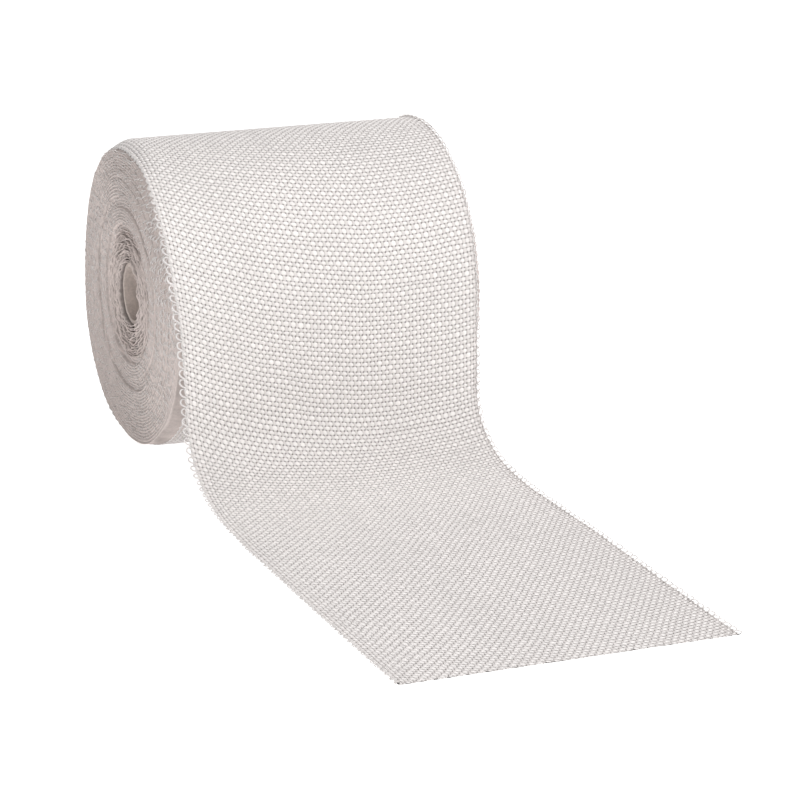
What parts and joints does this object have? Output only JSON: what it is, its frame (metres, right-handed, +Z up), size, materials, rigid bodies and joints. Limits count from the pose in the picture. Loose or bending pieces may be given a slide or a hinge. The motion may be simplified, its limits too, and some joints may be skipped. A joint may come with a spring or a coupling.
{
  "type": "roll of woven glass cloth tape",
  "caption": "Wide roll of plain-woven white glass cloth tape on a thin paper core, lying on its side with a loose end that hangs off the front and lies flat on the floor.",
  "frame": {"origin": "on the floor, under the middle of the whole object's footprint, loose end included", "axes": "+Z up; +X along the roll's axis; the loose end runs out towards -Y and the roll lies at +Y"},
  "size_m": [0.1532, 0.4144, 0.1465],
  "materials": {
    "glass_cloth": "satin white plain weave of untwisted glass yarn",
    "core_paper": "matt grey-brown paper"
  },
  "bodies": {
    "root": {"cloth_tape": "glass_cloth", "core_tube": "core_paper"}
  },
  "joints": []
}
